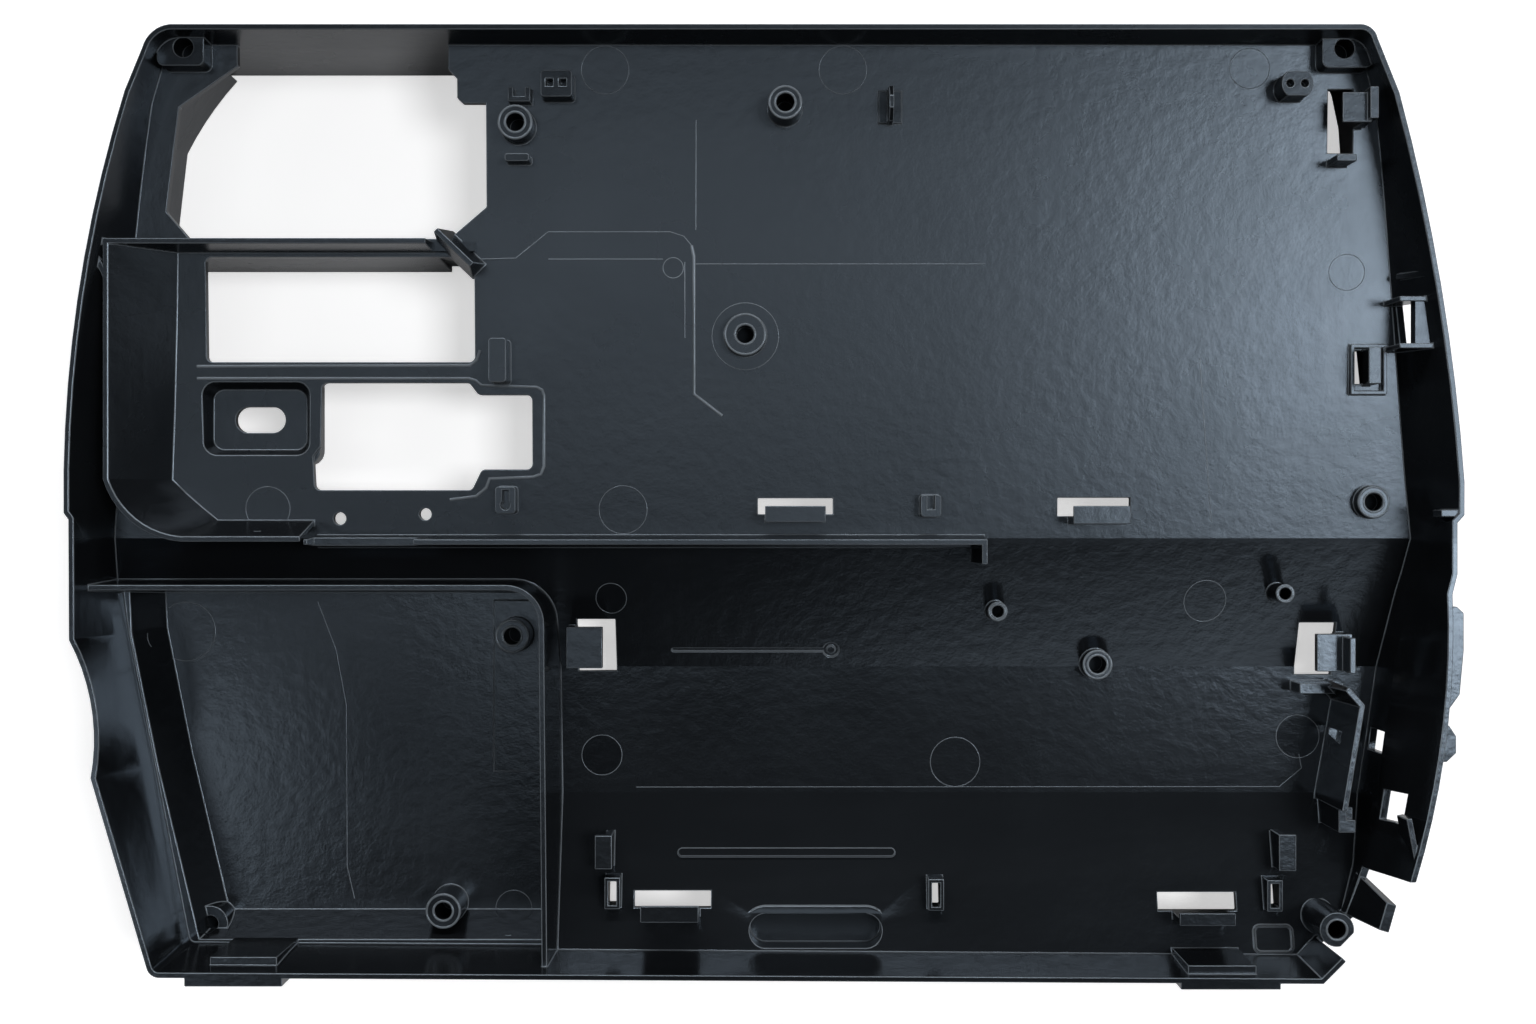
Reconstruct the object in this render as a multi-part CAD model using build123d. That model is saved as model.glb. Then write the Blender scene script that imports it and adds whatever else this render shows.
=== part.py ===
"""Injection moulded plastic housing, open at the top: one moulding with a leaning outer skirt,
a raised deck with three cut-outs, a sagging lower floor, two walled compartments, screw bosses,
guide posts, snap hooks over core-out windows and latch tabs on the rim.

Millimetres. The origin is the middle of the footprint on the surface that the housing stands on.
+X runs along the long side, +Y towards the edge with the large cut-out and +Z out of the open side.
"""

import os
from math import atan2, degrees

from build123d import *

# ---------------------------------------------------------------- driving dimensions: skirt and floors
overall_height = 40.0  # rim above the surface it stands on
shoulder_height = 23.0  # where the leaning upper skirt meets the upright lower skirt
rim_wall = 1.1  # skirt thickness at the rim
skirt_wall = 1.6  # skirt thickness from the shoulder down
foot_draft = 0.5  # how far the skirt draws in from the shoulder to the foot
floor_wall = 2.2  # deck and floor thickness
rib_wall = 1.1  # thickness of the compartment walls and ribs at their tops
wall_draft = 0.8  # how much each side of those walls leans out towards its foot
root = 1.0  # how deep a standing feature is rooted in the floor

deck_edge_height = 28.0  # deck surface at the +Y skirt
crease_y = -6.5  # where the deck turns down into the lower floor
crease_height = 23.0
sag_start_y = -34.0
sag_start_height = 11.0
sag_end_y = -61.0
sag_end_height = 10.0
floor_edge_height = 20.0  # lower floor surface at the -Y skirt
compartment_floor_height = 3.0  # floor of the deep corner compartment
reach = 160.0  # half the length of blanks that are trimmed by the skirt

# Skirt outlines, clockwise from the -X end of the +Y edge: x, y and the middle of an arc to the next.
rim_outline = [  # outer face at the rim
    (-119.0, 96.6, None),
    (119.5, 96.6, (121.6, 95.8)),
    (122.8, 93.8, None),
    (127.2, 82.8, (135.6, 44.0)),
    (140.2, 5.0, None),
    (140.2, -1.7, None),
    (138.8, -3.2, None),
    (138.8, -13.5, None),
    (137.8, -17.5, (136.6, -46.6)),
    (130.4, -75.5, None),
    (127.2, -79.1, None),
    (115.8, -91.7, None),
    (112.0, -95.5, None),
    (-121.0, -94.3, (-122.6, -93.8)),
    (-123.6, -92.3, None),
    (-134.8, -54.3, (-134.4, -41.6)),
    (-139.1, -26.7, None),
    (-139.2, -2.5, None),
    (-140.2, -1.2, (-137.5, 41.0)),
    (-128.0, 83.2, None),
    (-124.4, 92.0, (-122.3, 95.2)),
]
shoulder_outline = [  # inner face at the shoulder
    (-118.0, 94.8, None),
    (118.6, 94.8, (122.0, 93.4)),
    (124.4, 90.0, None),
    (125.9, 82.8, (128.9, 44.0)),
    (132.9, 5.0, None),
    (133.8, -1.7, None),
    (134.4, -6.5, None),
    (133.5, -13.5, None),
    (132.8, -17.5, (129.3, -46.6)),
    (125.0, -75.5, None),
    (121.8, -84.8, None),
    (115.4, -90.2, None),
    (111.6, -93.8, None),
    (-120.2, -92.3, (-121.4, -91.9)),
    (-122.0, -90.8, None),
    (-129.2, -54.3, (-131.8, -41.6)),
    (-134.7, -26.7, None),
    (-135.9, -17.8, None),
    (-134.6, -1.2, (-130.5, 41.0)),
    (-125.8, 83.2, None),
    (-124.2, 89.4, (-122.2, 93.4)),
]

# ---------------------------------------------------------------- driving dimensions: cut-outs
well_edge = [  # deck edge of the large cut-out, which is open up to the +Y skirt between two platforms
    (-108.3, 96.0), (-65.0, 96.0), (-65.0, 90.0), (-63.2, 88.2), (-63.2, 84.2), (-62.0, 83.1),
    (-57.3, 83.1), (-57.3, 61.9), (-65.0, 55.4), (-118.7, 55.4), (-123.4, 60.9), (-120.5, 82.3),
    (-108.3, 90.7),
]
well_corner = [(-115.7, 93.6), (-123.3, 83.6), (-129.0, 72.5)]  # arc of the wall at its -X corner
middle_window = ((-115.4, 30.0), (-59.9, 51.6))
lower_window = [
    (-91.6, 25.7), (-61.1, 25.7), (-59.2, 23.2), (-48.1, 23.2), (-48.1, 7.8), (-58.6, 7.8),
    (-60.7, 3.5), (-93.3, 3.5), (-93.6, 10.6), (-92.0, 12.6),
]
window_corner = 1.2  # corner radius of the cut-outs

slot_centre = (-105.3, 18.2)
slot_length = 10.4
slot_width = 5.4
slot_recess = (19.6, 12.6)  # floor of the recess around the slot
slot_recess_depth = 3.8
slot_recess_lean = 1.6  # how far the recess opens out towards the deck

# ---------------------------------------------------------------- driving dimensions: inner walls
upper_wall_height = 37.0  # tops of the tray walls beside the deck
lower_wall_height = 34.0  # tops of the deep compartment's walls
bridge_path = [(-129.0, 53.6, None), (-68.2, 53.6, None)]  # between the large and middle cut-outs
bridge_draft = 1.7
wing_path = [(-66.2, 55.8, None), (-58.9, 48.8, None)]  # slanting end of the bridge wall
loop_path = [  # rounded end that joins the bridge wall to the tray wall
    (-128.0, 53.6, None), (-132.4, 53.6, (-134.6, 52.6)), (-134.6, 50.4, None), (-132.7, 46.5, None)
]
tray_top = [  # middle of the tray's leaning wall at its top, clockwise
    (-132.7, 53.6, None), (-92.4, 53.6, None), (-92.4, -6.5, None), (-117.6, -6.5, (-127.7, -2.2)),
    (-132.7, 5.6, None),
]
tray_foot = [  # the same at the deck
    (-118.2, 53.6, None), (-92.4, 53.6, None), (-92.4, -3.2, None), (-113.5, -3.2, None),
    (-122.7, 5.4, None),
]
tray_foot_height = 23.5
long_wall_path = [(-92.8, -7.1, None), (44.5, -7.1, None), (44.5, -11.6, None)]
long_wall_dip = ((-92.0, -70.7), 31.0)  # stretch of the long wall with a lower top, and its height
deep_wall_path = [
    (-150.0, -16.4, None), (-52.5, -16.4, (-47.4, -18.5)), (-45.2, -24.0, None), (-44.4, -110.0, None)
]
deep_wall_draft = 1.6
deep_bevel = (5.0, 14.0)  # how far the bevel beside the deep floor reaches in and up

# ---------------------------------------------------------------- driving dimensions: screw bosses
pilot_sink = 0.9  # how far each pilot hole goes below the floor surface
pilot_radius = 1.8
small_pilot_radius = 1.2
pad_pilot_radius = 2.0
bosses = {  # x, y, outer radius, pilot hole radius, top height
    "well": (-50.6, 78.2, 3.6, pilot_radius, 33.2),
    "edge": (4.3, 81.8, 3.5, pilot_radius, 35.4),
    "deck": (-3.9, 35.5, 4.4, pilot_radius, 28.0),
    "side": (125.8, 1.0, 3.4, pilot_radius, 26.4),
    "small_inner": (48.7, -21.8, 2.1, small_pilot_radius, 22.0),
    "floor": (70.4, -33.3, 3.2, pilot_radius, 16.2),
    "small_outer": (107.5, -17.9, 2.0, small_pilot_radius, 26.7),
    "corner": (116.5, -86.0, 3.5, pilot_radius, 32.9),
    "deep_left": (-118.5, -89.1, 3.9, pilot_radius, 10.5),
    "deep_middle": (-68.1, -85.7, 3.8, pilot_radius, 14.0),
    "deep_inner": (-53.7, -27.5, 3.7, pilot_radius, 12.0),
}
corner_pads = [  # x, y, length, width, height, pilot hole x and y
    (-118.4, 93.3, 9.6, 7.6, 34.0, -117.8, 93.2),
    (118.6, 93.3, 10.2, 8.0, 33.0, 118.0, 93.2),
]
pad_corner = 1.4

# ---------------------------------------------------------------- driving dimensions: hooks and windows
hook_wall = 1.6
hook_lip = 2.2  # height of a hook's lip
hooks = [  # x, y of the lip-side face, direction of the lip in degrees from +Y, width, lip reach, top height,
    # window width, window depth and window shift along the width
    (6.4, -1.5, 0, 12.4, 1.7, 31.3, 15.6, 3.3, 0.1),
    (69.0, -1.9, 0, 11.7, 2.1, 31.3, 15.1, 3.8, -0.5),
    (-39.6, -29.3, -90, 8.6, 5.9, 22.6, 11.2, 8.1, 0.0),
    (121.0, -30.4, 90, 7.8, 5.8, 22.0, 11.3, 7.8, 0.3),
    (-19.6, -84.4, 0, 12.1, 1.8, 25.4, 16.1, 3.4, 0.3),
    (91.7, -85.0, 0, 11.6, 1.0, 25.8, 16.5, 3.7, -0.5),
    (123.9, 28.8, 90, 7.5, 0.9, 32.9, 6.8, 2.0, 0.1),
    (121.3, 80.8, 90, 6.0, 4.3, 35.5, 13.0, 5.2, -1.4),
]
clips = [  # x, y, direction, width, lip reach and top height of hooks without a window
    (-33.4, -72.2, 90, 7.0, 2.0, 20.9),
    (109.2, -72.3, -90, 7.6, 2.0, 20.8),
]
guide_slots = [(-31.8, -80.9), (36.0, -81.2), (106.9, -81.4)]
guide_slot_size = (1.7, 5.0)
guide_frame = (0.8, 4.0)  # wall and height of the frame around each guide slot
skirt_windows = [  # y range and z range of windows in the +X skirt
    ((33.0, 41.5), (26.5, 35.5)),
    ((-51.4, -46.9), (12.5, 22.0)),
    ((-64.5, -58.5), (25.0, 32.5)),
]


# ---------------------------------------------------------------- driving dimensions: posts, ribs and tabs
posts = [  # x, y, length, width, top height
    (-54.3, 29.9, 3.6, 9.0, 32.8),
    (-50.4, 71.3, 5.0, 1.6, 31.9),
    (34.4, 0.2, 4.2, 4.6, 27.4),
    (-53.3, 1.4, 4.2, 5.6, 27.4),
    (-42.2, 86.0, 6.4, 5.4, 33.6),
]
post_corner = 0.7
post_slots = [  # x, y, length, width and height of the bottom of slots in the tops of posts
    (34.4, 1.2, 1.5, 3.4, 24.5),
    (-53.3, 2.2, 1.4, 2.6, 24.5),
    (-43.6, 86.2, 1.5, 1.5, 30.5),
    (-40.9, 86.2, 1.5, 1.5, 30.5),
]
keyhole = (-53.3, 0.4, 1.0, 24.5)  # x, y, radius and bottom of the round end of the keyhole post's slot
round_post = (108.1, 85.8, 3.2, 34.6)  # x, y, radius and top height
round_post_flat = 2.5  # distance of its flats from its middle
round_post_holes = (1.5, 0.8)  # spacing from the middle and radius of its two holes
fin = (25.9, 82.2, 1.0, 7.2, 34.5)  # x, y, thickness, length and top height
fin_base = (4.8, 6.6, 0.6)
socket_clip = (-50.0, 84.2, 4.6, 3.0, 31.5)  # x, y, length, width and top height of the U beside the well boss

tall_rib_path = [(119.1, -37.2, None), (122.2, -40.7, None), (118.6, -62.3, None)]
tall_rib_height = 31.0
rib_foot_block = ((118.3, 121.8), (-67.1, -62.2), 27.3)
clip_fin = ((120.6, 121.8), (-34.3, -27.0), 27.6)  # x range, y range and height of the fin on the side hook
clip_foot = ((112.4, 121.6), (-39.2, -37.0), 18.9)
rear_clip_post = ((122.0, 123.7), (78.2, 84.6), 37.6)
rear_clip_ledge = ((116.0, 120.0), (70.0, 71.4), 34.9)
side_clip_frame = ((121.1, 128.6), (23.2, 33.6), 1.4, 0.8)  # x range, y range, height and wall
skirt_rib_y = (46.6, 47.8)  # small gusset rib on the +X skirt
skirt_rib_profile = [(129.6, 29.0), (133.4, 37.7), (140.0, 37.7), (140.0, 29.0)]
window_frame_wall = 1.0
window_frame_x = 128.2  # how far the frame of the large skirt window stands in from the skirt
gusset_path = [(129.4, -62.6, None), (131.6, -74.4, None)]  # slanting rib at the skirt's open corner

latch_tabs = [  # x range, y range, height range of tabs outside the -Y rim
    ((-116.0, -96.4), (-96.0, -92.0), (33.0, 40.0)),
    ((83.4, 103.4), (-96.6, -93.0), (33.0, 40.0)),
]
latch_blocks = [  # x range, y range and top height of the boxes inside the -Y skirt
    ((-112.4, -98.8), (-96.0, -91.3), 34.0),
    ((85.4, 99.2), (-96.6, -92.4), 37.0),
]
rim_blocks = [  # plan of the chamfered blocks outside the +X rim, with their bottom and top heights
    ([(130.0, -20.0), (138.8, -20.0), (140.2, -21.3), (140.2, -28.8), (139.4, -37.6), (137.4, -40.4),
      (130.0, -40.4)], 28.0, 39.4),
    ([(130.0, -43.9), (137.4, -43.9), (138.8, -46.0), (138.8, -49.4), (136.9, -51.2), (130.0, -51.2)],
     28.0, 39.0),
]
rim_tab = ((135.6, 139.0), (-2.0, -0.6), (34.0, 39.6))
corner_gap = [  # plan of the gap in the skirt at the corner between +X and -Y
    (120.1, -94.5), (114.3, -88.9), (119.5, -82.0), (122.0, -75.2), (133.5, -75.2), (133.5, -94.5)
]
corner_gap_foot = 20.5
latch_arm_foot = [(120.9, -84.9), (124.2, -76.6), (126.2, -77.4), (122.9, -85.7)]
latch_arm_top = [(125.6, -86.4), (127.2, -80.8), (129.2, -81.4), (127.6, -87.0)]
latch_arm_height = 31.0

pocket = (10.8, -89.0, 27.8, 6.8, 6.0)  # x, y, length, width and depth of the round-ended pocket
pocket_wall = 1.6
raised_bar = (4.7, -73.3, 46.0, 1.8, 0.9)  # x, y, length, width and height
groove = (-3.2, -30.4, 33.0, 0.8, 0.4)  # x, y, length, width and depth
groove_end_radius = 1.7
square_mark = (106.8, -90.6, 8.4, 6.0, 0.5)  # x, y, length, width and line width
deep_pad = ((-58.7, -46.0), (-57.3, -20.2), 0.5)
deck_holes = [(-70.4, -1.5, 1.25), (-88.2, -2.4, 1.3)]


# ---------------------------------------------------------------- outlines and lofts
def path_edges(path):
    """The closed path's edges: a line from each point to the next, or an arc through its middle."""
    edges = []
    for (x, y, middle), (next_x, next_y, _) in zip(path, path[1:] + path[:1]):
        if middle is None:
            edges.append(Line((x, y), (next_x, next_y)))
        else:
            edges.append(ThreePointArc((x, y), middle, (next_x, next_y)))
    return edges


def inward(tangent):
    """The unit vector to the right of a direction of travel, which is inwards on a clockwise path."""
    return Vector(tangent.Y, -tangent.X).normalized()


def inset(path, distance):
    """The clockwise path moved inwards by a distance, or outwards by a negative one."""
    edges = path_edges(path)
    moved = []
    for before, edge, (x, y, middle) in zip(edges[-1:] + edges[:-1], edges, path):
        normal_in, normal_out = inward(before % 1), inward(edge % 0)
        corner = Vector(x, y) + (normal_in + normal_out) * (distance / (1 + normal_in.dot(normal_out)))
        if middle is not None:
            arc_middle = (edge @ 0.5) + inward(edge % 0.5) * distance
            middle = (arc_middle.X, arc_middle.Y)
        moved.append((corner.X, corner.Y, middle))
    return moved


def section(path, height):
    return Pos(0, 0, height) * make_face(path_edges(path))


def lofted(lower_path, lower_height, upper_path, upper_height):
    return loft([section(lower_path, lower_height), section(upper_path, upper_height)], ruled=True)


def prism(points, low, high):
    """An upright prism over a closed outline."""
    return extrude(Pos(0, 0, low) * make_face(Polyline(*points, close=True)), high - low)


def block(x_range, y_range, z_range):
    size = [high - low for low, high in (x_range, y_range, z_range)]
    return Pos(x_range[0], y_range[0], z_range[0]) * Box(*size, align=(Align.MIN, Align.MIN, Align.MIN))


def corners(low_corner, high_corner):
    """The four corners of an upright rectangle."""
    (x0, y0), (x1, y1) = low_corner, high_corner
    return [(x0, y0), (x1, y0), (x1, y1), (x0, y1)]


def rounded_window(points, radius):
    """A cutter for a cut-out, through every floor."""
    outline = make_face(Polyline(*points, close=True))
    outline = fillet(outline.vertices(), radius)
    return extrude(outline, overall_height)


# ---------------------------------------------------------------- skirt
def skirt_volume(thickness_at_rim, thickness_below):
    """The volume inside the skirt's outer face, drawn in by its thickness at the rim and below."""
    rim = inset(rim_outline, thickness_at_rim)
    shoulder = inset(shoulder_outline, thickness_below - skirt_wall)
    foot = inset(shoulder, foot_draft)
    return lofted(foot, 0, shoulder, shoulder_height) + lofted(shoulder, shoulder_height, rim, overall_height)


# ---------------------------------------------------------------- deck and floors
def floor_points():
    """The surface of the deck and the lower floor, as places along Y and their heights."""
    deck_slope = (deck_edge_height - crease_height) / (rim_outline[0][1] - crease_y)
    edge_slope = (floor_edge_height - sag_end_height) / (sag_end_y - shoulder_outline[12][1])
    return [
        (reach, crease_height + deck_slope * (reach - crease_y)),
        (crease_y, crease_height),
        (sag_start_y, sag_start_height),
        (sag_end_y, sag_end_height),
        (-reach, sag_end_height + edge_slope * (reach + sag_end_y)),
    ]


def floor_height(y):
    """Height of the deck or lower floor surface at a place along Y."""
    points = floor_points()
    for (y0, z0), (y1, z1) in zip(points, points[1:]):
        if y >= y1:
            return z0 + (z1 - z0) * (y0 - y) / (y0 - y1)
    return points[-1][1]


def main_floor():
    """Deck and lower floor as one sheet, bent along X."""
    surface = floor_points()
    underside = [(y, z - floor_wall) for y, z in reversed(surface)]
    profile = Plane.YZ * make_face(Polyline(*surface, *underside, close=True))
    return extrude(profile, reach, both=True)


def deep_region(margin):
    """Plan of the deep compartment, out past the skirt, drawn in from its walls by a margin."""
    (_, wall_y, _), (corner_x, _, middle), (wall_x, corner_y, _), (end_x, end_y, _) = deep_wall_path
    path = [(-reach, wall_y, None), (corner_x, wall_y, middle), (wall_x, corner_y, None),
            (end_x, end_y, None), (-reach, end_y, None)]
    return inset(path, margin)


def deep_cavity(distance):
    """Plan of the space above the deep floor, drawn in from the skirt by a distance."""
    skirt_corners = [(x, y, None) for x, y, _ in (shoulder_outline[index] for index in (13, 15, 16))]
    (corner_x, corner_y, _), _, (_, _, _) = skirt_corners
    far_x, far_y = 0.0, 0.0
    path = [(shoulder_outline[17][0], far_y, None), (far_x, far_y, None), (far_x, corner_y, None)]
    return inset(path + skirt_corners, distance)


def deep_floor(core):
    """Deep compartment floor with its bevel along the skirt."""
    bevel_reach, bevel_height = deep_bevel
    region = extrude(section(deep_region(0), 0.8), bevel_height)
    cavity = lofted(deep_cavity(bevel_reach), compartment_floor_height,
                    deep_cavity(0), compartment_floor_height + bevel_height)
    return (region & core) - cavity


# ---------------------------------------------------------------- inner walls
def offset_open(path, distance):
    """An open path moved to its right by a distance."""
    edges = path_edges(path)[:-1]
    moved = []
    for index, (x, y, middle) in enumerate(path):
        normals = [inward(edge % 1) for edge in edges[index - 1:index] if index > 0]
        normals += [inward(edge % 0) for edge in edges[index:index + 1]]
        direction = sum(normals[1:], normals[0])
        scale = distance if len(normals) == 1 else distance / (1 + normals[0].dot(normals[1]))
        point = Vector(x, y) + direction * scale
        if middle is not None:
            arc_middle = (edges[index] @ 0.5) + inward(edges[index] % 0.5) * distance
            middle = (arc_middle.X, arc_middle.Y)
        moved.append((point.X, point.Y, middle))
    return moved


def turned_round(path):
    """The same open path, run backwards."""
    middles = [None] + [middle for _, _, middle in path[:-1]]
    return [(x, y, middle) for (x, y, _), middle in reversed(list(zip(path, middles)))]


def strip(path, width):
    """Closed outline of a strip of a width along an open path."""
    left = offset_open(path, -width / 2)
    right = offset_open(path, width / 2)
    left[-1] = (*left[-1][:2], None)
    return left + turned_round(right)


def wall(path, low, high, draft=wall_draft, thickness=rib_wall):
    """An upright wall along an open path, thicker towards its foot."""
    return lofted(strip(path, thickness + 2 * draft), low, strip(path, thickness), high)


def tray_wall():
    """The tray's wall: a sheet that leans in from its top to the deck on two sides and their corner."""
    def tray_volume(distance):
        return lofted(inset(tray_foot, distance), tray_foot_height - root,
                      inset(tray_top, distance), upper_wall_height)
    sheet = tray_volume(-rib_wall / 2) - tray_volume(rib_wall / 2)
    kept = corners((-reach, -reach), (tray_top[1][0] - rib_wall, bridge_path[0][1]))
    return sheet & prism(kept, 0, overall_height)


def long_wall():
    (dip_start, dip_end), dip_height = long_wall_dip
    run = wall(long_wall_path, crease_height - 2 * root, upper_wall_height)
    dip_y = long_wall_path[0][1]
    return run - block((dip_start, dip_end), (dip_y - 3, dip_y + 3), (dip_height, overall_height))


def inner_walls():
    return [
        wall(bridge_path, 0, upper_wall_height, bridge_draft),
        wall(wing_path, crease_height, upper_wall_height, bridge_draft),
        wall(loop_path, crease_height, upper_wall_height, 0.1),
        tray_wall(),
        long_wall(),
        wall(deep_wall_path, 0.8, lower_wall_height, deep_wall_draft),
    ]


# ---------------------------------------------------------------- well below the large cut-out
def well_corner_wall():
    """The rounded wall below the deck at the large cut-out's corner."""
    start, middle, end = well_corner
    path = [(*end, middle), (*start, None)]
    return extrude(section(strip(path, skirt_wall), 0), floor_height(start[1]) - floor_wall / 2)


# ---------------------------------------------------------------- bosses
def foot_height(x, y):
    """Surface under a standing feature: the deep compartment's floor, or the deck and lower floor."""
    in_deep = x < deep_wall_path[2][0] and y < deep_wall_path[0][1]
    return compartment_floor_height if in_deep else floor_height(y)


def boss(x, y, radius, top):
    foot = foot_height(x, y) - root
    return Pos(x, y, foot) * Cylinder(radius, top - foot, align=(Align.CENTER, Align.CENTER, Align.MIN))


def pilot_hole(x, y, hole_radius, top):
    depth = top - foot_height(x, y) + pilot_sink
    return Pos(x, y, top) * Cylinder(hole_radius, depth, align=(Align.CENTER, Align.CENTER, Align.MAX))


def corner_pad(x, y, length, width, top):
    foot = floor_height(y) - root
    body = Pos(x, y, foot) * Box(length, width, top - foot, align=(Align.CENTER, Align.CENTER, Align.MIN))
    return fillet(body.edges().filter_by(Axis.Z), pad_corner)


# ---------------------------------------------------------------- hooks
def hook(x, y, direction, width, lip_reach, top):
    """A snap hook: an upright with a lip at its top that reaches over the window before it."""
    foot = floor_height(y) - root
    upright = Box(width, hook_wall, top - foot, align=(Align.CENTER, Align.MAX, Align.MIN))
    lip = Pos(0, -hook_wall, top - foot - hook_lip) * Box(
        width, lip_reach + hook_wall, hook_lip, align=(Align.CENTER, Align.MIN, Align.MIN))
    return Pos(x, y, foot) * Rot(0, 0, direction) * (upright + lip)


def hook_window(x, y, direction, width, depth, shift):
    """The window below a hook's lip, through the floor."""
    opening = Pos(shift, 0, 0) * Box(width, depth, 4 * floor_wall + 6, align=(Align.CENTER, Align.MIN, Align.CENTER))
    return Pos(x, y, floor_height(y)) * Rot(0, 0, direction) * opening


def guide_frame_block(x, y):
    (slot_x, slot_y), (frame_wall, frame_height) = guide_slot_size, guide_frame
    foot = floor_height(y) - root
    size = (slot_x + 2 * frame_wall, slot_y + 2 * frame_wall, frame_height + root)
    return Pos(x, y, foot) * Box(*size, align=(Align.CENTER, Align.CENTER, Align.MIN))


# ---------------------------------------------------------------- posts and ribs
def on_floor(x, y):
    """A place on the floor surface, tilted with it."""
    if foot_height(x, y) == compartment_floor_height:
        return Pos(x, y, compartment_floor_height)
    step = 0.5
    rise = floor_height(y + step) - floor_height(y - step)
    return Pos(x, y, floor_height(y)) * Rot(degrees(atan2(rise, 2 * step)), 0, 0)


def standing_block(x, y, length, width, top):
    foot = foot_height(x, y) - root
    body = Pos(x, y, foot) * Box(length, width, top - foot, align=(Align.CENTER, Align.CENTER, Align.MIN))
    return fillet(body.edges().filter_by(Axis.Z), min(post_corner, width / 3))


def range_block(x_range, y_range, top):
    """A block over a range of x and y, rooted in the floor."""
    lowest = min(foot_height(x_range[0], y) for y in y_range)
    return block(x_range, y_range, (lowest - root, top))


def round_keyed_post():
    x, y, radius, top = round_post
    foot = floor_height(y) - root
    body = Cylinder(radius, top - foot, align=(Align.CENTER, Align.CENTER, Align.MIN))
    body &= Box(2 * radius, 2 * round_post_flat, 4 * top)
    return Pos(x, y, foot) * body


def guide_fin():
    x, y, thickness, length, top = fin
    foot = floor_height(y) - root
    base_length, base_width, base_height = fin_base
    base = Box(base_length, base_width, base_height + root, align=(Align.CENTER, Align.CENTER, Align.MIN))
    blade = Box(thickness, length, top - foot, align=(Align.CENTER, Align.CENTER, Align.MIN))
    blade = chamfer(blade.edges().filter_by(Axis.X).sort_by(Axis.Z)[-2:], length / 3)
    return Pos(x, y, foot) * (base + blade)


def u_clip():
    x, y, length, width, top = socket_clip
    foot = floor_height(y) - root
    body = Box(length, width, top - foot, align=(Align.CENTER, Align.CENTER, Align.MIN))
    body -= Pos(0, rib_wall, 0) * Box(length - 2 * rib_wall, width, 3 * top)
    return Pos(x, y, foot) * body


def frame_around(x_range, y_range, height, thickness):
    """A low frame on the floor."""
    foot = floor_height(max(y_range))
    outer_block = range_block(x_range, y_range, foot + height)
    inner_x = (x_range[0] + thickness, x_range[1] - thickness)
    inner_y = (y_range[0] + thickness, y_range[1] - thickness)
    return outer_block - block(inner_x, inner_y, (0, overall_height))


def skirt_rib():
    profile = Plane.XZ * make_face(Polyline(*skirt_rib_profile, close=True))
    return Pos(0, skirt_rib_y[1], 0) * extrude(profile, skirt_rib_y[1] - skirt_rib_y[0])


def window_frame():
    """Two cheeks beside the large window in the +X skirt."""
    (y_low, y_high), (z_low, z_high) = skirt_windows[0]
    x_range = (window_frame_x, reach)
    z_range = (floor_height(y_high) - root, z_high + window_frame_wall)
    return [block(x_range, (y_low - window_frame_wall, y_low), z_range),
            block(x_range, (y_high, y_high + window_frame_wall), z_range)]


def standing_features():
    return [
        *[standing_block(*values) for values in posts],
        round_keyed_post(),
        guide_fin(),
        u_clip(),
        wall(tall_rib_path, sag_end_height - root, tall_rib_height, 0.5),
        wall(gusset_path, shoulder_height, overall_height - 1.0, 0.4),
        range_block(*rib_foot_block),
        range_block(*clip_fin),
        range_block(*clip_foot),
        range_block(*rear_clip_post),
        range_block(*rear_clip_ledge),
        frame_around(*side_clip_frame),
        skirt_rib(),
        *window_frame(),
        *[range_block(x_range, y_range, top) for x_range, y_range, top in latch_blocks],
        block(*deep_pad[:2], (compartment_floor_height - root, compartment_floor_height + deep_pad[2])),
    ]


def outside_features():
    """Tabs and blocks on the outer face of the skirt."""
    features = [block(*ranges) for ranges in latch_tabs]
    features += [prism(points, low, high) for points, low, high in rim_blocks]
    return features


def latch_arm():
    """The hooked arm that reaches out of the open corner."""
    lower = Pos(0, 0, corner_gap_foot - 2 * root) * make_face(Polyline(*latch_arm_foot, close=True))
    upper = Pos(0, 0, latch_arm_height) * make_face(Polyline(*latch_arm_top, close=True))
    return loft([lower, upper], ruled=True)


# ---------------------------------------------------------------- recesses and marks
def stadium(length, width, height):
    outline = SlotOverall(length, width)
    return extrude(outline, height)


def slot_recess_cut():
    """The recess around the slot, opening out towards the deck, and the slot through its floor."""
    x, y = slot_centre
    length, width = slot_recess
    floor = floor_height(y) - slot_recess_depth
    lean = 2 * slot_recess_lean
    narrow = Pos(x, y, floor) * RectangleRounded(length, width, 2.4)
    wide = Pos(x, y, floor + slot_recess_depth + root) * RectangleRounded(length + lean, width + lean, 2.8)
    slot = Pos(x, y, 0) * extrude(SlotOverall(slot_length, slot_width), overall_height)
    return loft([narrow, wide], ruled=True) + slot


def slot_pan():
    """The sheet below the recess, which keeps the floor's thickness around it."""
    x, y = slot_centre
    length, width = slot_recess
    margin = 2 * (slot_recess_lean + skirt_wall)
    foot = floor_height(y) - slot_recess_depth - floor_wall
    return Pos(x, y, foot) * extrude(RectangleRounded(length + margin, width + margin, 3.0),
                                     slot_recess_depth + floor_wall / 2)


def pocket_pan():
    x, y, length, width, depth = pocket
    foot = floor_height(y) - depth - floor_wall
    return Pos(x, y, foot) * stadium(length + 2 * pocket_wall, width + 2 * pocket_wall, depth + floor_wall / 2)


def pocket_cut():
    x, y, length, width, depth = pocket
    return Pos(x, y, floor_height(y) - depth) * stadium(length, width, depth + 3 * root)


def floor_line_cut(outline, depth):
    return Pos(0, 0, -depth) * extrude(outline, depth + root)


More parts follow.
